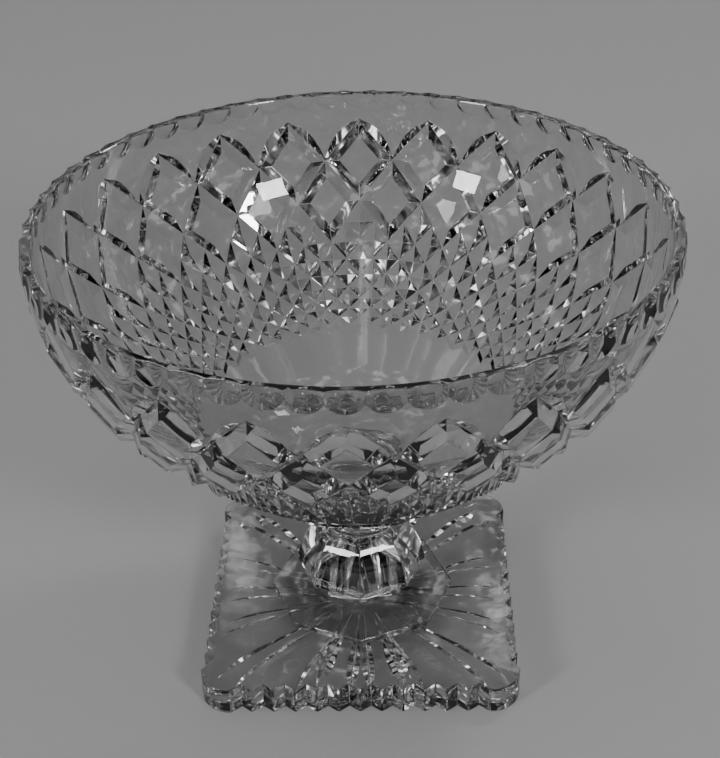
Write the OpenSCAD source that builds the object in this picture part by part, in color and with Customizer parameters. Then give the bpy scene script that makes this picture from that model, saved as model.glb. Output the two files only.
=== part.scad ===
// Cut-crystal punch bowl on a knopped stem and a square serrated foot.
// Four pieces of glass stand one on the other and are joined hot: foot, stem, joining wafer, bowl.
// Millimetres, +Z up. The origin is the centre of the foot's underside, where the bowl stands.

/* [Bowl] */
// Outside diameter at the rim
bowl_d = 254; // [210:1:310]
// Height of the bowl from its rounded underside to the rim
bowl_h = 125.6; // [104:0.1:152]
// Outside radius of the swelling below the rim
belly_r = 101; // [84:1:104]
// Outside radius of the rounded underside
base_r = 60; // [50:1:72]
// Outside radius of the middle of the underside, before it starts to rise
base_flat_r = 15; // [12:0.5:18]
// Thickness of the wall at the rim
rim_t = 5; // [4:0.1:6]
// Thickness of the glass in the middle of the floor
floor_t = 12.6; // [10:0.1:15.5]
// How much tighter the swelling is inside, which thickens the wall towards the floor
belly_step = 15; // [8:0.5:18]
// How much tighter the rounding of the floor is than that of the underside
base_step = 10; // [8:0.5:12]
// Rounding of the rim's inner edge
rim_round = 1.5; // [1:0.1:1.8]

/* [Rim flutes] */
// Number of thumb cuts around the rim
flute_count = 60; // [48:1:72]
// Radius of the wheel that cuts a flute
flute_r = 16; // [13:0.5:19.5]
// How far a flute runs down from the rim
flute_h = 7; // [5.8:0.1:8.4]
// Width of the blunt edge left between two flutes
flute_land = 0.8; // [0.5:0.1:1.2]
// Uncut height left under the flutes before the swelling starts
band_margin = 0.6; // [0.5:0.1:0.8]

/* [Boss under the bowl] */
// Radius of the boss
boss_r = 13; // [11:0.5:15.5]
// Height of the boss, from the wafer to the level of the underside
boss_h = 15.4; // [12.8:0.1:18.5]
// Radius of the fillet between the boss and the underside
boss_fillet = 12; // [10:0.5:14.5]

/* [Joining wafer] */
// How far the wafer stands out past the neck or the boss, whichever is wider
wafer_lip = 1.3; // [1:0.1:1.6]
// Thickness of the wafer
wafer_t = 4.5; // [3.7:0.1:5.4]

/* [Stem] */
// Height of the stem, from the foot to the wafer
stem_h = 38.7; // [32.2:0.1:46.5]
// Number of cut panels around the stem
panels = 8; // [6:2:12]
// Corner radius of the low base that stands on the foot
stem_base_r = 40; // [33.3:0.1:48]
// Height of the upright edge of the stem's base
stem_base_t = 2.6; // [2.1:0.1:3.1]
// Corner radius of the waist between the base and the knop
waist_r = 17.5; // [14.6:0.1:21]
// Height of the waist above the foot
waist_z = 7; // [5.8:0.1:8.4]
// Corner radius of the knop
knop_r = 28; // [23.3:0.1:33.6]
// Height of the knop's sharp edge above the foot
knop_z = 15; // [12.5:0.1:18]
// Corner radius of the neck under the wafer
neck_r = 15.2; // [12.7:0.1:18.3]

/* [Foot] */
// Side of the square foot
foot_side = 133.5; // [111:0.5:160]
// Thickness of the foot
foot_t = 12.8; // [10.7:0.1:15.4]
// Radius of the foot's plain corners
foot_corner_r = 13; // [11:0.5:15.5]
// How far the teeth stand back from the plain corners
tooth_setback = 0.6; // [0.3:0.1:1]
// Number of notches along one side
notch_count = 12; // [10:1:14]
// Depth of a notch
notch_depth = 3.2; // [2.7:0.1:3.8]
// Width of the blunt crest between two notches
crest_w = 0.8; // [0.5:0.1:1.2]

/* [Hidden] */

$fn = 96;
ARC_STEP = 3;          // degrees between two points of a profile arc
CUT_CLEAR = 1;         // how far a cut runs past the face that it starts from
GLASS = [0.80, 0.84, 0.86, 0.55];
WAFER_GLASS = [0.70, 0.76, 0.80, 0.60];
STEM_GLASS = [0.74, 0.79, 0.82, 0.60];
FOOT_GLASS = [0.77, 0.81, 0.83, 0.60];

// Levels, from the foot's underside up
stem_z = foot_t;
wafer_z = stem_z + stem_h;
boss_z = wafer_z + wafer_t;
bowl_z = boss_z + boss_h;
rim_z = bowl_z + bowl_h;
floor_z = bowl_z + floor_t;
bowl_r = bowl_d / 2;

// The wafer covers both of the ends that it joins
wafer_r = max(neck_r, boss_r) + wafer_lip;

// Points of an arc in the profile's plane, from angle a to angle b
function arc(centre, r, a, b) =
    let (steps = max(2, ceil(abs(b - a) / ARC_STEP)))
    [for (i = [0:steps]) centre + r * [cos(a + (b - a) * i / steps), sin(a + (b - a) * i / steps)]];

// Angle below level at which one straight flank touches both circles from outside
function flank_angle(upper, upper_r, lower, lower_r) =
    let (d = upper - lower)
    acos((lower_r - upper_r) / norm(d)) - atan2(d[1], d[0]);

// Centres of the profile's circles: the swelling hangs level with the rim
belly_c = [bowl_r - belly_r, rim_z];
base_c = [base_flat_r, bowl_z + base_r];
inner_belly_r = belly_r - belly_step;
inner_base_r = base_r - base_step;
inner_belly_c = [bowl_r - rim_t - inner_belly_r, rim_z - rim_round];
inner_base_c = [base_flat_r + base_step / 2, floor_z + inner_base_r];
outer_flank = flank_angle(belly_c, belly_r, base_c, base_r);
inner_flank = flank_angle(inner_belly_c, inner_belly_r, inner_base_c, inner_base_r);
rim_edge_c = [bowl_r - rim_t + rim_round, rim_z - rim_round];

// The fillet stands on the boss and touches the underside's circle
fillet_x = boss_r + boss_fillet;
fillet_rise = sqrt(pow(base_r + boss_fillet, 2) - pow(fillet_x - base_c[0], 2));
fillet_c = [fillet_x, base_c[1] - fillet_rise];
fillet_end = atan2(fillet_rise, base_c[0] - fillet_x);

// The fluted band is upright, and a flute stops short of its neighbours
band_z = rim_z - flute_h - band_margin;
flute_half = bowl_r * sin(180 / flute_count) - flute_land / 2;
flute_axis_r = sqrt(bowl_r * bowl_r - flute_half * flute_half)
    + sqrt(flute_r * flute_r - flute_half * flute_half);

// Notches share the side between the two plain corners
notch_pitch = (foot_side - 2 * foot_corner_r) / notch_count;
tooth_line = foot_side / 2 - tooth_setback;

module bowl_profile() {
    polygon(concat(
        [[0, boss_z], [boss_r, boss_z]],
        arc(fillet_c, boss_fillet, 180, fillet_end),
        arc(base_c, base_r, fillet_end - 180, -outer_flank),
        arc(belly_c, belly_r, -outer_flank, -asin((rim_z - band_z) / belly_r)),
        [[bowl_r, band_z], [bowl_r, rim_z]],
        arc(rim_edge_c, rim_round, 90, 180),
        arc(inner_belly_c, inner_belly_r, -ARC_STEP, -inner_flank),
        arc(inner_base_c, inner_base_r, -inner_flank, -90),
        [[0, floor_z]]
    ));
}

module flute_cut() {
    translate([flute_axis_r, 0, rim_z - flute_h])
        cylinder(r = flute_r, h = flute_h + CUT_CLEAR);
}

module bowl() {
    color(GLASS)
        difference() {
            rotate_extrude() bowl_profile();
            for (i = [0:flute_count - 1])
                rotate([0, 0, i * 360 / flute_count]) flute_cut();
        }
}

module joining_wafer() {
    // A drop of glass squeezed between the stem and the boss, round at its edge
    edge_c = [wafer_r - wafer_t / 2, wafer_z + wafer_t / 2];
    color(WAFER_GLASS)
        rotate_extrude()
            polygon(concat(
                [[0, wafer_z]],
                arc(edge_c, wafer_t / 2, -90, 90),
                [[0, wafer_z + wafer_t]]
            ));
}

module stem() {
    base_top = stem_z + stem_base_t;
    waist = [waist_r, stem_z + waist_z];
    knop = [knop_r, stem_z + knop_z];
    neck = [neck_r, wafer_z];
    flare = [for (i = [0:6]) let (a = 15 * i)
        [waist[0] + (stem_base_r - waist[0]) * (1 - sin(a)), base_top + (waist[1] - base_top) * (1 - cos(a))]];
    shoulder = [for (i = [0:8]) let (a = 90 * i / 8)
        [neck[0] + (knop[0] - neck[0]) * pow(cos(a), 1.35), knop[1] + (neck[1] - knop[1]) * pow(sin(a), 1.15)]];
    color(STEM_GLASS)
        rotate_extrude($fn = panels)
            polygon(concat(
                [[0, stem_z], [stem_base_r, stem_z]],
                flare,
                shoulder,
                [[0, wafer_z]]
            ));
}

module notch() {
    half_w = (notch_pitch - crest_w) / 2;
    polygon([
        [tooth_line + CUT_CLEAR, -half_w - crest_w],
        [tooth_line + CUT_CLEAR, half_w + crest_w],
        [tooth_line, half_w],
        [tooth_line - notch_depth, 0],
        [tooth_line, -half_w]
    ]);
}

module foot_outline() {
    inner = foot_side - 2 * foot_corner_r;
    difference() {
        union() {
            square([foot_side, inner], center = true);
            square([inner, foot_side], center = true);
            for (x = [-1, 1], y = [-1, 1])
                translate([x * inner / 2, y * inner / 2]) circle(r = foot_corner_r);
        }
        for (side = [0:3], i = [0:notch_count - 1])
            rotate(90 * side)
                translate([0, (i - (notch_count - 1) / 2) * notch_pitch]) notch();
    }
}

module foot() {
    color(FOOT_GLASS)
        linear_extrude(height = foot_t) foot_outline();
}

bowl();
joining_wafer();
stem();
foot();
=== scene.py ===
# %% [markdown]
# # A cut-crystal punch bowl
# The bowl is four pieces of clear crystal, joined hot: a square foot, a stem cut in panels, a small
# joining wafer, and the bowl. Everything that makes it sparkle is cut into the glass with wheels, so
# this lesson is about shaping facets that meet exactly, and about glass that looks like glass.
#
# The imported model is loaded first. It is the frame that every piece is measured from.

# %% Load the frame
import math

import bmesh
import bpy
from mathutils import Matrix, Vector


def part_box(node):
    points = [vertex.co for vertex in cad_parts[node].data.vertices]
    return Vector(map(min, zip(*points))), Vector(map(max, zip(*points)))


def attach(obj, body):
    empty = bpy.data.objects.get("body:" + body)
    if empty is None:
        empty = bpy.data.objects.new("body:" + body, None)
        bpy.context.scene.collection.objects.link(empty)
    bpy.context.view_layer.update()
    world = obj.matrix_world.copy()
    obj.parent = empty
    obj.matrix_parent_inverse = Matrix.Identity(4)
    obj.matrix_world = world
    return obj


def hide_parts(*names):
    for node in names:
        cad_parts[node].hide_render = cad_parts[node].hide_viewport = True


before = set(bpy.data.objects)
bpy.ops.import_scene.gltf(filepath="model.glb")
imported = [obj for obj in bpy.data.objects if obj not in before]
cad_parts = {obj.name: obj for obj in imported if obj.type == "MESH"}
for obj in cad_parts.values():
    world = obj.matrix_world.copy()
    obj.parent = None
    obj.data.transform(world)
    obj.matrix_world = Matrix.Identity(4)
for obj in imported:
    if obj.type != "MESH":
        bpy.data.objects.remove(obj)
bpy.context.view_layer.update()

MM = 0.001

foot_low, foot_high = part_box("foot")
stem_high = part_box("stem")[1]
wafer_low, wafer_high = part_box("joining_wafer")
bowl_low, bowl_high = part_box("bowl")

foot_side = foot_high.x - foot_low.x
foot_top = foot_high.z
stem_base_r = stem_high.x
wafer_r = wafer_high.x
rim_r = bowl_high.x
rim_z = bowl_high.z
print(f"foot {foot_side / MM:.1f} mm square, rim {2 * rim_r / MM:.1f} mm across, {rim_z / MM:.1f} mm high")

# %% [markdown]
# ## Working in edit mode from a script
# A person selects with the mouse. A script selects with a test: every vertex, edge or face whose
# middle passes the test is picked, and the next operator works on just those. These few helpers are
# all the selecting and placing that the lesson needs. Most of the object is round, so a ring of
# vertices is described by its radius and its height.

# %% Helpers for selecting
def deselect_objects():
    if bpy.context.object and bpy.context.object.mode != "OBJECT":
        bpy.ops.object.mode_set(mode="OBJECT")
    bpy.ops.object.select_all(action="DESELECT")


def activate(name):
    """Makes one object the only selected one."""
    deselect_objects()
    piece = bpy.data.objects[name]
    piece.select_set(True)
    bpy.context.view_layer.objects.active = piece
    return piece


def edit_all():
    """Opens the active object's mesh with every vertex selected."""
    bpy.ops.object.mode_set(mode="EDIT")
    bpy.ops.mesh.select_mode(type="VERT")
    bpy.ops.mesh.select_all(action="SELECT")


def open_mesh():
    return bmesh.from_edit_mesh(bpy.context.edit_object.data)


def middle(element):
    if isinstance(element, bmesh.types.BMVert):
        return element.co
    corners = [v.co for v in element.verts]
    return sum(corners, Vector()) / len(corners)


def pick(kind, test):
    """Selects the vertices, edges or faces (kind) that pass the test, and says how many."""
    bpy.ops.mesh.select_mode(type={"verts": "VERT", "edges": "EDGE", "faces": "FACE"}[kind])
    bpy.ops.mesh.select_all(action="DESELECT")
    mesh = open_mesh()
    found = [e for e in getattr(mesh, kind) if test(e)]
    for element in found:
        element.select_set(True)
    mesh.select_flush_mode()
    bmesh.update_edit_mesh(bpy.context.edit_object.data)
    return len(found)


# %% Helpers for round things
def radius(point):
    return math.hypot(point.x, point.y)


def turn(point):
    """The angle around the axis in degrees, from 0 at the front."""
    return math.degrees(math.atan2(point.x, -point.y)) % 360


def place_ring(old, new):
    """Moves the selected ring of vertices from one (radius, height) to another."""
    scale = new[0] / old[0]
    bpy.ops.transform.resize(value=(scale, scale, 1), center_override=(0, 0, old[1]))
    bpy.ops.transform.translate(value=(0, 0, new[1] - old[1]))


def add_ring(old, new):
    """Extrudes the selected ring from one (radius, height) to the next."""
    bpy.ops.mesh.extrude_region_move()
    place_ring(old, new)
    return new


def start_ring(name, columns, ring):
    """Adds a circle that is ready to be extruded."""
    deselect_objects()
    bpy.ops.mesh.primitive_circle_add(vertices=columns, radius=ring[0], location=(0, 0, ring[1]))
    bpy.context.object.name = name
    bpy.ops.object.transform_apply(location=True, rotation=True, scale=True)
    edit_all()


# %% Helpers for finishing a piece
EDGE_ROUND = 0.22 * MM


def face_outwards():
    bpy.ops.mesh.select_all(action="SELECT")
    bpy.ops.mesh.normals_make_consistent(inside=False)


def round_edges(width, sharper_than, held_back=True):
    """A cut edge is never a razor: polishing leaves a very small round on it."""
    bpy.ops.object.modifier_add(type="BEVEL")
    bevel = bpy.context.object.modifiers[-1]
    bevel.width = width
    bevel.segments = 2
    bevel.limit_method = "ANGLE"
    bevel.angle_limit = math.radians(sharper_than)
    bevel.use_clamp_overlap = held_back
    bevel.harden_normals = True
    bpy.ops.object.modifier_apply(modifier=bevel.name)


def merge_points(nearer_than):
    """Joins points that a cut left almost on top of each other."""
    edit_all()
    bpy.ops.mesh.remove_doubles(threshold=nearer_than)
    bpy.ops.object.mode_set(mode="OBJECT")


def finish_piece(name, node):
    """Puts the piece's origin at the frame's origin and ties it to the frame."""
    piece = activate(name)
    bpy.ops.object.transform_apply(location=True, rotation=True, scale=True)
    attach(piece, "root")
    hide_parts(node)
    print(name, len(piece.data.polygons), "faces")
    return piece


# %% [markdown]
# ## The bowl before it is cut
# A cutter starts from a blank, a thick smooth bowl. Its outside is a swelling below the rim, a straight
# flank and a rounded underside. `skin` walks down that outline from the rim, so a place on the glass
# is a distance from the rim and an angle around it. Sinking a point below the skin is how deep a wheel
# has cut there.

# %% The outline of the blank
BELLY_R = 101 * MM
BASE_R = 60 * MM
BASE_FLAT_R = 15 * MM
BOSS_H = 15.4 * MM

base_z = bowl_low.z + BOSS_H


def flank_angle(upper, upper_r, lower, lower_r):
    """How far below level the straight flank faces, where it touches both circles."""
    step = upper - lower
    return math.acos((lower_r - upper_r) / step.length) - math.atan2(step.y, step.x)


belly_c = Vector((rim_r - BELLY_R, rim_z))
base_c = Vector((BASE_FLAT_R, base_z + BASE_R))
flank = flank_angle(belly_c, BELLY_R, base_c, BASE_R)
belly_end = BELLY_R * flank
flank_length = math.sqrt((belly_c - base_c).length_squared - (BELLY_R - BASE_R) ** 2)
base_start = belly_end + flank_length


def skin(down, sink=0.0):
    """Radius and height of the point that is down from the rim along the outline, and sunk below it."""
    if down < belly_end:
        centre, r, facing = belly_c, BELLY_R, down / BELLY_R
    elif down < base_start:
        slide = Vector((math.sin(flank), math.cos(flank))) * (down - belly_end)
        centre, r, facing = belly_c - slide, BELLY_R, flank
    else:
        centre, r, facing = base_c, BASE_R, flank + (down - base_start) / BASE_R
    return tuple(centre + (r - sink) * Vector((math.cos(facing), -math.sin(facing))))


print(f"the flank runs from {belly_end / MM:.0f} mm to {base_start / MM:.0f} mm down from the rim")

# %% [markdown]
# ## The net of cuts
# The pattern is a net of slanting V cuts that cross each other. Every crossing lies on a level, and
# the levels are numbered from the top. The large diamonds span four levels and the small pointed ones
# span two. Between the large diamonds the levels move slowly apart. Below them they close up towards
# the middle of the bowl, because the diamonds get narrower there, and so the cuts get shallower too.

# %% Levels of the net
LARGE_AROUND = 24
SMALL_AROUND = 2 * LARGE_AROUND
FIRST_LEVEL = 13.7 * MM
LARGE_STEP, LARGE_GROWTH, LARGE_STEPS = 9.2 * MM, 1.024, 6
SMALL_STEP, SMALL_GROWTH, SMALL_STEPS = 8.6 * MM, 0.855, 8
TIP_SINK = 1.8 * MM
LARGE_SINK = 3.6 * MM
DEEPEST_SINK = 3.8 * MM
SINK_CHANGE = 0.4 * MM
DEEPEST_UNTIL = 7


def net_levels():
    """How far down from the rim each level lies."""
    levels = [FIRST_LEVEL]
    large = (LARGE_STEP, LARGE_GROWTH, LARGE_STEPS)
    small = (SMALL_STEP, SMALL_GROWTH, SMALL_STEPS)
    for step, growth, count in (large, small):
        for i in range(count):
            levels.append(levels[-1] + step * growth ** i)
    return levels


LEVEL_DOWN = net_levels()
LAST_LEVEL = len(LEVEL_DOWN) - 1
LEVEL_SINK = [TIP_SINK, LARGE_SINK, LARGE_SINK, LARGE_SINK, LARGE_SINK]
for level in range(5, LAST_LEVEL + 1):
    LEVEL_SINK.append(DEEPEST_SINK - SINK_CHANGE * max(0, level - DEEPEST_UNTIL))


def crossing(level):
    """Radius and height of a crossing of two V cuts."""
    return skin(LEVEL_DOWN[level], LEVEL_SINK[level])


print(f"{LAST_LEVEL + 1} levels, from {LEVEL_DOWN[0] / MM:.0f} to {LEVEL_DOWN[-1] / MM:.0f} mm down")

# %% [markdown]
# How could such a net be made? Cutting hundreds of V bars out of the blank with booleans is slow and
# leaves slivers. Extruding a sleeve of squares, poking each in its middle and dissolving the squares'
# own edges leaves a net of diamonds whose corners are exactly where the cuts cross.

# %% A net of diamonds
HAIR = 0.1 * MM


def is_square_edge(edge):
    """True on the upright and level edges of the sleeve, and not on the slanting ones."""
    a, b = (v.co for v in edge.verts)
    apart = abs((turn(a) - turn(b) + 180) % 360 - 180)
    return apart < 0.01 or abs(a.z - b.z) < HAIR / 10


def net_of_diamonds(name, around, levels):
    start_ring(name, around, crossing(levels[0]))
    ring = crossing(levels[0])
    for level in levels[1:]:
        ring = add_ring(ring, crossing(level))
    bpy.ops.mesh.select_all(action="SELECT")
    bpy.ops.mesh.poke()
    for above, below in zip(levels, levels[1:]):
        low, high = crossing(below)[1] + HAIR, crossing(above)[1] - HAIR
        pick("verts", lambda v: low < v.co.z < high)
        centre = next(v for v in open_mesh().verts if v.select)
        place_ring((radius(centre.co), centre.co.z), crossing((above + below) // 2))
    pick("edges", lambda e: not e.is_boundary and is_square_edge(e))
    bpy.ops.mesh.dissolve_edges(use_verts=False)
    print(name, "has", len(open_mesh().faces), "faces between levels", levels[0], "and", levels[-1])


net_of_diamonds("cut_bowl", LARGE_AROUND, [0, 4, 8])

# %% [markdown]
# The net of large diamonds keeps two rows. Above them the glass stays plain, and below their zigzag
# the small diamonds take over, so the extra triangles and the third row are deleted. The zigzag's
# sides get a vertex in the middle, where the corners of the small diamonds will meet them.

# %% Keep two rows of large diamonds
def snap_to_crossing(vert, level, around):
    """Puts a vertex on the nearest place of that level, 1/around of a turn apart."""
    step = 360 / around
    angle = math.radians(round(turn(vert.co) / step) * step)
    r, z = crossing(level)
    vert.co = (r * math.sin(angle), -r * math.cos(angle), z)


pick("faces", lambda f: len(f.verts) == 3 or middle(f).z < crossing(5)[1])
bpy.ops.mesh.delete(type="FACE")
mesh = open_mesh()
for edge in [e for e in mesh.edges if e.is_boundary and middle(e).z < crossing(4)[1]]:
    _, vert = bmesh.utils.edge_split(edge, edge.verts[0], 0.5)
    snap_to_crossing(vert, 5, 2 * SMALL_AROUND)
bmesh.update_edit_mesh(bpy.context.edit_object.data)
print("two rows of", len(mesh.faces) // 2, "large diamonds")

# %% [markdown]
# A large diamond has a broad flat in the middle and sloping sides. Insetting every face by itself
# gives both at once: `thickness` is the width of a side, `depth` how far the flat stands above the
# cuts. The glass is curved, so the four corners of a flat don't lie in a plane until they are told to.

# %% Raise the flats of the large diamonds
FLAT_MARGIN = 4.8 * MM
FLAT_RISE = LARGE_SINK + 1.0 * MM

bpy.ops.mesh.select_all(action="SELECT")
bpy.ops.mesh.inset(thickness=FLAT_MARGIN, depth=FLAT_RISE, use_individual=True, use_boundary=True)
bpy.ops.mesh.face_make_planar(factor=1.0, repeat=20)
print(sum(f.select for f in open_mesh().faces), "flats")

# %% [markdown]
# The small diamonds come from a net of their own, twice as fine. The triangles at its two ends go,
# and so does every other diamond of the first row, because the large ones already fill that place.

# %% The net of small diamonds
net_of_diamonds("small_net", SMALL_AROUND, list(range(4, LAST_LEVEL + 1, 2)))
pick("faces", lambda f: len(f.verts) == 3)
bpy.ops.mesh.delete(type="FACE")
first_row_z = (crossing(4)[1] + crossing(6)[1]) / 2
large_step = 360 / LARGE_AROUND


def belongs_to_large_row(face):
    c = middle(face)
    return abs(c.z - first_row_z) < 2 * MM and abs(turn(c) % large_step - large_step / 2) < 1


print(pick("faces", belongs_to_large_row), "diamonds already belong to the large rows")
bpy.ops.mesh.delete(type="FACE")

# %% Raise the small diamonds to points, one row at a time
POINT_RISE = 0.35 * MM
for level in range(5, LAST_LEVEL):
    level_z = crossing(level)[1]
    reach = min(abs(crossing(level + step)[1] - level_z) for step in (-1, 1)) / 2
    pick("faces", lambda f: len(f.verts) == 4 and abs(middle(f).z - level_z) < reach)
    bpy.ops.mesh.poke(offset=LEVEL_SINK[level] + POINT_RISE)
print(len(open_mesh().faces) // 4, "small pointed diamonds")

# %% [markdown]
# Joined and merged along the zigzag, the two nets are one sheet.

# %% Join the two nets
activate("cut_bowl")
bpy.data.objects["small_net"].select_set(True)
bpy.ops.object.join()
edit_all()
bpy.ops.mesh.remove_doubles(threshold=HAIR / 2)
print(sum(e.is_boundary for e in open_mesh().edges), "edges are open, half at the top and half below")

# %% [markdown]
# ## From the net up to the rim
# Each top cut has an outer side that climbs back to the skin. The wheel goes deepest half-way along a
# cut, so this side is a leaf: pointed where two cuts meet and wide between. From its edge the glass is
# plain up to the thumb cuts. Each row is extruded from the last, and then every vertex is put in its
# place on the skin by its angle. The first row is split so that each thumb cut gets eight columns.

# %% Extrude rows and lay them on the skin
FLUTES = 60
COLUMNS = 8 * FLUTES
ZIGZAG_SIDES = 2 * LARGE_AROUND


def lay_row(place, columns):
    """Puts each selected vertex where place(angle) says: a radius and a height."""
    step = 360 / columns
    for vert in open_mesh().verts:
        if vert.select:
            angle = round(turn(vert.co) / step) * step
            r, z = place(angle)
            angle = math.radians(angle)
            vert.co = (r * math.sin(angle), -r * math.cos(angle), z)
    bmesh.update_edit_mesh(bpy.context.edit_object.data)


def extrude_row(place, columns):
    bpy.ops.mesh.extrude_region_move()
    lay_row(place, columns)


def along_side(angle, around):
    """How far along its side of the zigzag an angle lies, from 0 at a tip to 1 at a notch."""
    share = angle * around / 360 % 1
    return 1 - abs(2 * share - 1)


LEAF_WIDTH = 4.8 * MM
LEAF_TIP = 0.8 * MM
LEAF_SKEW = 1.3


def above_cut(angle):
    """Where the outer side of the top cuts reaches the skin."""
    share = along_side(angle, LARGE_AROUND)
    cut = LEVEL_DOWN[0] + (LEVEL_DOWN[2] - LEVEL_DOWN[0]) * share
    return cut - LEAF_TIP - LEAF_WIDTH * math.sin(math.pi * share ** LEAF_SKEW)


def is_top_edge(edge):
    return edge.is_boundary and middle(edge).z > crossing(4)[1]


pick("edges", is_top_edge)
bpy.ops.mesh.subdivide(number_cuts=COLUMNS // ZIGZAG_SIDES - 1)
pick("edges", is_top_edge)
extrude_row(lambda a: skin(above_cut(a)), COLUMNS)
print("leaf-shaped sides on", ZIGZAG_SIDES, "top cuts")

# %% [markdown]
# A thumb cut is the mark of a round wheel held against the rim. It is deepest at the rim and runs out
# lower down in a rounded end, and two neighbours meet in a short upright edge. How deep the wheel has
# gone at a place depends on how far down it is and how far from the middle of the cut.

# %% The plain band and the thumb cuts
CUT_DEPTH = 2.0 * MM
CUT_LENGTH = 8.3 * MM
WHEEL_R = 16 * MM
BAND_ROWS = 4
CUT_ROWS = 6


def wheel_hollow(angle):
    """How much less deep the wheel cuts here than in the middle of the nearest thumb cut."""
    step = 360 / FLUTES
    off_middle = rim_r * math.radians(abs((angle + step / 2) % step - step / 2))
    return off_middle ** 2 / (2 * WHEEL_R)


def thumb_depth(angle, down):
    return max(0.0, CUT_DEPTH * (1 - (down / CUT_LENGTH) ** 2) - wheel_hollow(angle))


def thumb_end(angle):
    return CUT_LENGTH * math.sqrt(1 - wheel_hollow(angle) / CUT_DEPTH)


for row in range(1, BAND_ROWS + 1):
    share = row / BAND_ROWS
    extrude_row(lambda a: skin(above_cut(a) + (thumb_end(a) - above_cut(a)) * share), COLUMNS)
for row in range(1, CUT_ROWS + 1):
    share = 1 - row / CUT_ROWS
    extrude_row(lambda a: skin(thumb_end(a) * share, thumb_depth(a, thumb_end(a) * share)), COLUMNS)
print("plain band and", FLUTES, "thumb cuts")

# %% [markdown]
# ## Over the rim and down the inside
# The rim is rounded over into the smooth inner wall. The wall thickens downwards, from 5 mm at the rim
# to more than 12 mm at the floor, because the inside is rounded more tightly than the outside.

# %% The rim and the inside
RIM_T = 5.0 * MM
FLOOR_T = 12.6 * MM
RIM_ROUND = 1.3 * MM
INNER_BELLY_R = 86 * MM
INNER_BASE_R = 50 * MM
INNER_FLAT_R = 20 * MM
INSIDE_STEP = math.radians(3)
RIM_STEP = math.radians(15)

inner_belly_c = Vector((rim_r - RIM_T - INNER_BELLY_R, rim_z - RIM_ROUND))
inner_base_c = Vector((INNER_FLAT_R, base_z + FLOOR_T + INNER_BASE_R))
inner_flank = flank_angle(inner_belly_c, INNER_BELLY_R, inner_base_c, INNER_BASE_R)
rim_edge_c = Vector((rim_r - RIM_T + RIM_ROUND, rim_z - RIM_ROUND))


def arc(centre, r, start, end, step=INSIDE_STEP):
    """Points from one angle to another. Angles are counted up from level, facing away from the axis."""
    count = max(1, math.ceil(abs(end - start) / step))
    angles = [start + (end - start) * i / count for i in range(count + 1)]
    return [tuple(centre + r * Vector((math.cos(a), math.sin(a)))) for a in angles]


inside = arc(rim_edge_c, RIM_ROUND, math.pi / 2, math.pi, RIM_STEP)
inside += arc(inner_belly_c, INNER_BELLY_R, -INSIDE_STEP, -inner_flank)
inside += arc(inner_base_c, INNER_BASE_R, -inner_flank, -math.pi / 2)
inside += [(INNER_FLAT_R / 2, inside[-1][1]), (INNER_FLAT_R / 8, inside[-1][1])]
for point in inside:
    extrude_row(lambda a: point, COLUMNS)
bpy.ops.mesh.merge(type="CENTER")
print(len(inside), "rows inside")

# %% [markdown]
# ## Under the net
# The lowest cuts climb back to the skin in a zigzag, and the plain underside runs down to the boss.
# A fillet joins the two, as it must where hot glass was drawn together.

# %% The underside and the boss
LOW_CUT_EDGE = 2.6 * MM
UNDER_COLUMNS = 2 * SMALL_AROUND
UNDER_ROWS = 3
BOSS_R = 13 * MM
BOSS_FILLET = 12 * MM
FILLET_STEP = math.radians(8)
BAND_REACH = 12 * MM


def below_cut(angle):
    """Where the lower side of the lowest cuts reaches the skin."""
    share = along_side(angle, SMALL_AROUND)
    return LEVEL_DOWN[-1] + (LEVEL_DOWN[-2] - LEVEL_DOWN[-1]) * share + LOW_CUT_EDGE


fillet_c = Vector((BOSS_R + BOSS_FILLET, 0))
fillet_rise = math.sqrt((BASE_R + BOSS_FILLET) ** 2 - (fillet_c.x - base_c.x) ** 2)
fillet_c.y = base_c.y - fillet_rise
fillet_end = math.atan2(fillet_rise, base_c.x - fillet_c.x)
round_start = base_start - BAND_REACH

pick("edges", lambda e: e.is_boundary)
extrude_row(lambda a: skin(below_cut(a)), UNDER_COLUMNS)
for row in range(1, UNDER_ROWS + 1):
    share = row / UNDER_ROWS
    extrude_row(lambda a: skin(below_cut(a) + (round_start - below_cut(a)) * share), UNDER_COLUMNS)
under = [skin(base_start)] + arc(base_c, BASE_R, -flank, fillet_end - math.pi)[1:]
under += arc(fillet_c, BOSS_FILLET, fillet_end, math.pi, FILLET_STEP)[1:]
under += [(BOSS_R, bowl_low.z), (BOSS_R / 2, bowl_low.z)]
for point in under:
    extrude_row(lambda a: point, UNDER_COLUMNS)
bpy.ops.mesh.merge(type="CENTER")

# %% Close, round and shade the bowl
SMOOTH_BELOW = 11
SHARP_ABOVE = 22
face_outwards()
print("open edges:", sum(not e.is_manifold for e in open_mesh().edges))
activate("cut_bowl")
bpy.ops.object.shade_smooth_by_angle(angle=math.radians(SMOOTH_BELOW))
round_edges(EDGE_ROUND, SHARP_ABOVE)
cut_bowl = finish_piece("cut_bowl", "bowl")

# %% [markdown]
# ## The joining wafer
# A wafer is a drop of hot glass squeezed flat between two pieces. It is turned like a bead: half of
# its outline is extruded ring by ring. Its two faces reach a hair into its neighbours, so that no thin
# layer of air is drawn between glass and glass.

# %% The joining wafer
WAFER_COLUMNS = 64
FUSE = 0.25 * MM
EDGE_STEP = math.radians(12)
WAFER_SMOOTH_BELOW = 40


def turned_piece(name, columns, outline):
    """Extrudes a ring along an outline of (radius, height) and closes both ends."""
    ring = outline[0]
    start_ring(name, columns, ring)
    for point in outline[1:]:
        ring = add_ring(ring, point)
    bpy.ops.mesh.merge(type="CENTER")
    pick("edges", lambda e: e.is_boundary)
    bpy.ops.mesh.extrude_region_move()
    bpy.ops.mesh.merge(type="CENTER")
    face_outwards()
    activate(name)


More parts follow.
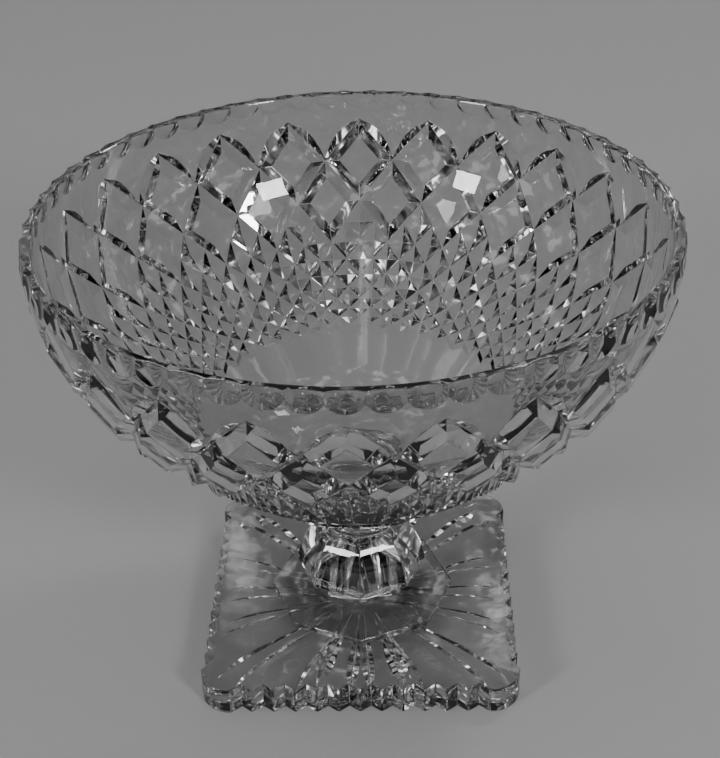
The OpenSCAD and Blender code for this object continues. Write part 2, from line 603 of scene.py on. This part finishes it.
wafer_t = wafer_high.z - wafer_low.z
face_r = BOSS_R - 1 * MM
edge_c = Vector((wafer_r - wafer_t / 2, wafer_low.z + wafer_t / 2))
wafer_outline = [(wafer_r / 2, wafer_low.z - FUSE), (face_r, wafer_low.z - FUSE)]
wafer_outline += arc(edge_c, wafer_t / 2, -math.pi / 2, math.pi / 2, EDGE_STEP)
wafer_outline += [(face_r, wafer_high.z + FUSE), (wafer_r / 2, wafer_high.z + FUSE)]
turned_piece("wafer_ring", WAFER_COLUMNS, wafer_outline)
bpy.ops.object.shade_smooth_by_angle(angle=math.radians(WAFER_SMOOTH_BELOW))
wafer_ring = finish_piece("wafer_ring", "joining_wafer")

# %% [markdown]
# ## The stem
# The stem is cut in eight flat panels from the base to the neck, so its rings have only eight
# vertices. The base is a low step, the waist a tight hollow, and the knop has one sharp edge.

# %% The stem
PANELS = 8
BASE_STEP = 2.6 * MM
WAIST = (17.5 * MM, foot_top + 7 * MM)
KNOP = (28 * MM, foot_top + 15 * MM)
NECK = (15.2 * MM, stem_high.z)
HOLLOW_STEPS = 8
SHOULDER_STEPS = 9
SHOULDER_BULGE = 1.35
SHOULDER_RISE = 1.15
STEM_SMOOTH_BELOW = 16
STEM_EDGE_ROUND = 0.35 * MM


def between(a, b, across, along):
    """The point that lies those shares of the way from a to b, in radius and in height."""
    return a[0] + (b[0] - a[0]) * across, a[1] + (b[1] - a[1]) * along


base_top = (stem_base_r, foot_top + BASE_STEP)
stem_outline = [(stem_base_r / 2, foot_top - FUSE), (stem_base_r, foot_top - FUSE), base_top]
for i in range(1, HOLLOW_STEPS + 1):
    a = math.pi / 2 * i / HOLLOW_STEPS
    stem_outline.append(between(base_top, WAIST, math.sin(a), 1 - math.cos(a)))
for i in range(SHOULDER_STEPS + 1):
    a = math.pi / 2 * i / SHOULDER_STEPS
    across, along = 1 - math.cos(a) ** SHOULDER_BULGE, math.sin(a) ** SHOULDER_RISE
    stem_outline.append(between(KNOP, NECK, across, along))
stem_outline.append((NECK[0] / 2, NECK[1]))
turned_piece("panel_stem", PANELS, stem_outline)
bpy.ops.object.shade_smooth_by_angle(angle=math.radians(STEM_SMOOTH_BELOW))
round_edges(STEM_EDGE_ROUND, SHARP_ABOVE)
panel_stem = finish_piece("panel_stem", "stem")

# %% [markdown]
# ## The foot
# The foot is a thick plate. Its corners are left plain and round, and its sides are notched by a V
# wheel all the way along. The plate starts as a cube, and a bevel of its four upright edges rounds the
# corners. The notches are cut by a comb of square bars that stand on their edges.

# %% The plate and its notches
NOTCHES = 12
NOTCH_DEPTH = 3.2 * MM
NOTCH_CREST = 0.8 * MM
CORNER_R = 13 * MM
CORNER_STEPS = 10
SETBACK = 0.6 * MM
SETBACK_BAR = 6 * MM
SIDES = 4

tooth_line = foot_side / 2 - SETBACK
notched = foot_side - 2 * CORNER_R
pitch = notched / NOTCHES

deselect_objects()
bpy.ops.mesh.primitive_cube_add(size=foot_side, location=(0, 0, foot_top / 2))
bpy.context.object.name = "cut_foot"
bpy.ops.object.transform_apply(location=True, rotation=True, scale=True)
edit_all()
bpy.ops.transform.resize(value=(1, 1, foot_top / foot_side), center_override=(0, 0, foot_top / 2))
pick("edges", lambda e: abs(e.verts[0].co.z - e.verts[1].co.z) > foot_top / 2)
bpy.ops.mesh.bevel(offset=CORNER_R, segments=CORNER_STEPS, affect="EDGES")


def copy_around(step, count):
    """Copies what is selected round the axis, each copy one step of degrees on from the last."""
    for _ in range(count):
        bpy.ops.mesh.duplicate()
        bpy.ops.transform.rotate(value=math.radians(step), orient_axis="Z", center_override=(0, 0, 0))


def cut_out(piece_name, tool_name):
    """Takes the tool out of the piece, and deletes the tool."""
    piece = activate(piece_name)
    bpy.ops.object.modifier_add(type="BOOLEAN")
    cut = piece.modifiers[-1]
    cut.operation = "DIFFERENCE"
    cut.solver = "EXACT"
    cut.use_self = True
    cut.object = bpy.data.objects[tool_name]
    bpy.ops.object.modifier_apply(modifier=cut.name)
    bpy.data.objects.remove(bpy.data.objects[tool_name])


deselect_objects()
first_notch = Vector(((pitch - notched) / 2, -tooth_line, foot_top / 2))
bpy.ops.mesh.primitive_cylinder_add(vertices=4, radius=1, depth=2 * foot_top, location=first_notch)
bpy.context.object.name = "comb"
bpy.ops.object.transform_apply(location=True, rotation=True, scale=True)
edit_all()
bpy.ops.transform.resize(value=((pitch - NOTCH_CREST) / 2, NOTCH_DEPTH, 1), center_override=first_notch)
for _ in range(NOTCHES - 1):
    bpy.ops.mesh.duplicate_move(TRANSFORM_OT_translate={"value": (pitch, 0, 0)})
bpy.ops.object.mode_set(mode="OBJECT")
bar_y = -tooth_line - SETBACK_BAR / 2
bpy.ops.mesh.primitive_cube_add(size=1, location=(0, bar_y, foot_top / 2))
bpy.context.object.name = "setback_bar"
bpy.context.object.scale = (notched, SETBACK_BAR, 2 * foot_top)
bpy.data.objects["comb"].select_set(True)
bpy.ops.object.transform_apply(location=True, rotation=True, scale=True)
bpy.context.view_layer.objects.active = bpy.data.objects["comb"]
bpy.ops.object.join()
edit_all()
copy_around(360 / SIDES, SIDES - 1)
face_outwards()
cut_out("cut_foot", "comb")
print("the foot has", SIDES * NOTCHES, "notches")

# %% [markdown]
# Long leaf-shaped cuts run out from the middle of the underside. One tool is the shape that a V wheel
# leaves: a bar with three edges, swelling towards its far end and pinched to a point at both. It is
# modelled once for each length, copied round the plate, and all the copies are taken out at once.

# %% The leaf-shaped cuts
# Degrees off the middle of a side, how far out the cut ends, and how wide it gets.
LEAF_CUTS = [
    (4, 60 * MM, 6.2 * MM),
    (17.5, 62 * MM, 6.2 * MM),
    (23.5, 66 * MM, 6.2 * MM),
    (41.5, 81 * MM, 9 * MM),
]
CUT_START = 14 * MM
CUT_SLOPE = 0.42
CUT_SWELL = 1.9
CUT_STEPS = 14
TOOL_TOP = 1.3
FIRST_SHARE, SHARE_RUN = 0.03, 0.95
SLIVER = 0.002 * MM
FOOT_SMOOTH_BELOW = 14
FOOT_SHARP_ABOVE = 60
FOOT_EDGE_ROUND = 0.3 * MM


def leaf_tool(name, length, width):
    """A pinched three-edged bar along the X axis, with its lower edges under the plate."""
    deselect_objects()
    bpy.ops.mesh.primitive_circle_add(vertices=3, radius=1, location=(CUT_START, 0, 0))
    bpy.context.object.name = name
    bpy.ops.object.transform_apply(location=True, rotation=True, scale=True)
    edit_all()
    start = (CUT_START, 0, 0)
    for axis in ("X", "Z"):
        bpy.ops.transform.rotate(value=-math.pi / 2, orient_axis=axis, center_override=start)
    bpy.ops.transform.translate(value=(0, 0, TOOL_TOP - 1))
    shares = [FIRST_SHARE + SHARE_RUN * i / CUT_STEPS for i in range(CUT_STEPS + 1)]
    sizes = [math.sin(math.pi * share ** CUT_SWELL) for share in shares]
    wide = width / math.sqrt(3)
    deep = width * CUT_SLOPE / TOOL_TOP
    bpy.ops.transform.resize(value=(1, sizes[0] * wide, sizes[0] * deep), center_override=start)
    run = (length - CUT_START) / CUT_STEPS
    for i in range(1, CUT_STEPS + 1):
        bpy.ops.mesh.extrude_region_move(TRANSFORM_OT_translate={"value": (run, 0, 0)})
        grow = sizes[i] / sizes[i - 1]
        bpy.ops.transform.resize(value=(1, grow, grow), center_override=(CUT_START + i * run, 0, 0))
    bpy.ops.mesh.merge(type="CENTER")
    pick("edges", lambda e: e.is_boundary)
    bpy.ops.mesh.merge(type="CENTER")
    face_outwards()


tools = []
for off, length, width in LEAF_CUTS:
    tools.append(f"leaf_{off}")
    leaf_tool(tools[-1], length, width)
    bpy.ops.transform.rotate(value=math.radians(off), orient_axis="Z", center_override=(0, 0, 0))
    for side in range(SIDES):
        copy_around(-2 * off, 1)
        if side < SIDES - 1:
            copy_around(2 * off + 360 / SIDES, 1)
activate(tools[0])
for tool in tools:
    bpy.data.objects[tool].select_set(True)
bpy.ops.object.join()
cut_out("cut_foot", tools[0])

# %% [markdown]
# Booleans leave a few points almost on top of each other, which are merged before and after the edges
# are rounded. Where two leaves meet, the rounding pushes some points out through the underside, and
# those are pressed back flat so that the foot stands true.

# %% Round and shade the foot
merge_points(SLIVER)
bpy.ops.object.shade_smooth_by_angle(angle=math.radians(FOOT_SMOOTH_BELOW))
round_edges(FOOT_EDGE_ROUND, FOOT_SHARP_ABOVE, held_back=False)
merge_points(SLIVER)
edit_all()
for point in open_mesh().verts:
    point.co.z = max(point.co.z, 0)
bmesh.update_edit_mesh(bpy.context.edit_object.data)
print("open edges:", sum(not e.is_manifold for e in open_mesh().edges))
bpy.ops.object.mode_set(mode="OBJECT")
cut_foot = finish_piece("cut_foot", "foot")

# %% [markdown]
# ## Shader maths that reads like maths
# A material's nodes are wired by links, which is hard to read in a script. `Wire` wraps one socket, so
# that `1 - mask` or `0.02 + 0.1 * haze` adds the Math nodes by itself. `Shop` adds every other node.

# %% Small helpers for materials
class Wire:
    """One output socket that can be used in sums."""

    def __init__(self, shop, socket):
        self.shop = shop
        self.socket = socket

    def _math(self, operation, *values, clamp=False):
        return self.shop.node("ShaderNodeMath", values, operation=operation, use_clamp=clamp)

    def __add__(self, other):
        return self._math("ADD", self, other)

    def __radd__(self, other):
        return self._math("ADD", other, self)

    def __sub__(self, other):
        return self._math("SUBTRACT", self, other)

    def __rsub__(self, other):
        return self._math("SUBTRACT", other, self)

    def __mul__(self, other):
        return self._math("MULTIPLY", self, other)

    def __rmul__(self, other):
        return self._math("MULTIPLY", other, self)

    def clamped(self):
        return self._math("ADD", self, 0.0, clamp=True)


class Shop:
    """Adds the nodes of one material, or of the room around the object."""

    def __init__(self, owner):
        owner.use_nodes = True
        self.owner = owner
        self.tree = owner.node_tree
        self.tree.nodes.clear()

    def node(self, kind, values=(), output=0, **settings):
        """Adds a node. Settings come first, then the values or links of its sockets, by place or name."""
        made = self.tree.nodes.new(kind)
        for name, value in settings.items():
            setattr(made, name, value)
        pairs = values.items() if isinstance(values, dict) else enumerate(values)
        for key, value in pairs:
            if isinstance(value, Wire):
                self.tree.links.new(value.socket, made.inputs[key])
            else:
                made.inputs[key].default_value = value
        return Wire(self, made.outputs[output]) if len(made.outputs) else None

    def noise(self, scale, detail, stretch=(1.0, 1.0, 1.0)):
        """Clouds from 0 to 1, fixed to the object."""
        place = self.node("ShaderNodeTexCoord", output="Object")
        place = self.node("ShaderNodeMapping", {"Vector": place, "Scale": stretch})
        clouds = {"Vector": place, "Scale": scale, "Detail": detail}
        return self.node("ShaderNodeTexNoise", clouds, output="Fac")

    def mix(self, factor, first, second):
        """A colour between two others. A colour Mix node keeps its colours in its sockets 6 and 7."""
        return self.node("ShaderNodeMix", {0: factor, 6: first, 7: second}, output=2, data_type="RGBA")

    def ramp(self, factor, tones):
        """Greys that follow the factor. tones holds (place, value) pairs."""
        made = self.tree.nodes.new("ShaderNodeValToRGB")
        stops = made.color_ramp.elements
        while len(stops) < len(tones):
            stops.new(1.0)
        for stop, (place, value) in zip(stops, tones):
            stop.position, stop.color = place, grey(value)
        self.tree.links.new(factor.socket, made.inputs["Fac"])
        return Wire(self, made.outputs["Color"])

    def finish(self, shader):
        room = isinstance(self.owner, bpy.types.World)
        self.node("ShaderNodeOutputWorld" if room else "ShaderNodeOutputMaterial", {"Surface": shader})
        return self.owner


def grey(value, warm=0.0):
    """A grey, a little warmer or colder."""
    return (value * (1 + warm), value, value * (1 - warm), 1)


# %% [markdown]
# ## Crystal
# Lead crystal bends light more than window glass: its index of refraction is about 1.55. It has a
# faint grey body. Polishing leaves ripples far too shallow to see except in what they reflect, and a
# bowl that has been used has a light haze of fine scratches.

# %% The crystal
LEAD_CRYSTAL_IOR = 1.55
BODY_CHANGE = 0.03
POLISH = 0.004
SCUFF_START = 0.55


def crystal(name, body, haze, ripple, ripple_scale):
    """Clear glass: body is how clear, haze how scuffed, and ripple how uneven its polish is."""
    shop = Shop(bpy.data.materials.new(name))
    colour = shop.mix(shop.noise(9.0, 2.0), grey(body, 0.002), grey(body - BODY_CHANGE, -0.004))
    scuffs = shop.noise(220.0, 5.0, stretch=(1.0, 1.0, 0.15))
    roughness = (POLISH + haze * (scuffs - SCUFF_START).clamped() * 4.0).clamped()
    bump = shop.node("ShaderNodeBump", {
        "Strength": ripple, "Distance": 1 * MM, "Height": shop.noise(ripple_scale, 2.0),
    })
    return shop.finish(shop.node("ShaderNodeBsdfPrincipled", {
        "Base Color": colour, "Roughness": roughness, "IOR": LEAD_CRYSTAL_IOR,
        "Transmission Weight": 1.0, "Normal": bump,
    }))


bowl_crystal = crystal("bowl_crystal", 0.72, 0.03, 0.10, 60.0)
stem_crystal = crystal("stem_crystal", 0.84, 0.03, 0.12, 80.0)
# Painted light: the foot's body is clearer than the bowl's and the stem's, so the foot looks brighter and
# stands in for the light that its shade on the floor takes away.
foot_crystal = crystal("foot_crystal", 0.92, 0.05, 0.20, 50.0)
for piece, material in ((cut_bowl, bowl_crystal), (wafer_ring, stem_crystal),
                        (panel_stem, stem_crystal), (cut_foot, foot_crystal)):
    piece.data.materials.clear()
    piece.data.materials.append(material)

# %% [markdown]
# ## The studio
# The bowl stands on a plain pale floor. Crystal has no colour to show: it shows the room, bent and
# cut up. Three soft boxes give the white flashes, and the small bright and dark patches of the room
# all round are what draw the light and the dark sides of the cuts.

# %% The floor and the room
FLOOR_GAP = 0.15 * MM
FLOOR_SIZE = 6
ROOM_TONES = [(0.40, 0.02), (0.46, 0.12), (0.54, 0.22), (0.60, 0.45), (0.66, 3.2)]
PATCH_SCALE = 8.0
ROOM_SHIFT = (0, 5.0, 0)
PATCH_DETAIL = 2.0

deselect_objects()
bpy.ops.mesh.primitive_plane_add(size=FLOOR_SIZE, location=(0, 0, -FLOOR_GAP))
floor = bpy.context.object
floor.name = "floor"
paint = Shop(bpy.data.materials.new("floor_paint"))
floor_tone = paint.mix(paint.noise(3.0, 3.0), grey(0.42), grey(0.40))
floor_look = paint.node("ShaderNodeBsdfPrincipled", {"Base Color": floor_tone, "Roughness": 0.6})
floor.data.materials.append(paint.finish(floor_look))

room = Shop(bpy.data.worlds.new("room"))
way = room.node("ShaderNodeTexCoord", output="Generated")
way = room.node("ShaderNodeMapping", {"Vector": way, "Location": ROOM_SHIFT})
patch_values = {"Vector": way, "Scale": PATCH_SCALE, "Detail": PATCH_DETAIL}
patches = room.node("ShaderNodeTexNoise", patch_values, output="Fac")
room_tone = room.ramp(patches, ROOM_TONES)
bpy.context.scene.world = room.finish(room.node("ShaderNodeBackground", {"Color": room_tone}))


# %% The lights
def soft_box(name, width, height, power, place, aim=(0, 0, 0.12)):
    light = bpy.data.lights.new(name, "AREA")
    light.shape = "RECTANGLE"
    light.size, light.size_y, light.energy = width, height, power
    lamp = bpy.data.objects.new(name, light)
    lamp.location = place
    lamp.rotation_euler = (Vector(aim) - Vector(place)).to_track_quat("-Z", "Y").to_euler()
    bpy.context.scene.collection.objects.link(lamp)


soft_box("right_box", 0.34, 0.34, 13, (1.05, -1.39, 1.05))
soft_box("left_box", 0.34, 0.34, 13, (-1.38, -1.25, 0.85))
soft_box("back_box", 0.25, 0.25, 5, (0.9, 1.0, 1.7))


# %% [markdown]
# ## The camera
# The camera looks down into the bowl from the front, a little from one side and tilted a touch, as a
# hand holds it.

# %% The camera
CAMERA_AWAY = 618 * MM
CAMERA_DOWN = math.radians(31.9)
CAMERA_TURN = math.radians(1.4)
CAMERA_ROLL = math.radians(-1.3)
LOOK_AT = Vector((3.5, 0, 128.3)) * MM
LENS = 72
LENS_SHIFT = (-0.0065, -0.0185)

heading = Matrix.Rotation(CAMERA_TURN, 4, "Z")
tilt = Matrix.Rotation(math.pi / 2 - CAMERA_DOWN, 4, "X")
roll = Matrix.Rotation(CAMERA_ROLL, 4, "Z")
back = Vector((0, -math.cos(CAMERA_DOWN), math.sin(CAMERA_DOWN)))
lens = bpy.data.cameras.new("camera")
lens.sensor_width = 36
lens.lens = LENS
lens.shift_x, lens.shift_y = LENS_SHIFT
camera = bpy.data.objects.new("camera", lens)
camera.matrix_world = Matrix.Translation(heading @ (LOOK_AT + back * CAMERA_AWAY)) @ heading @ tilt @ roll
bpy.context.scene.collection.objects.link(camera)
bpy.context.scene.camera = camera
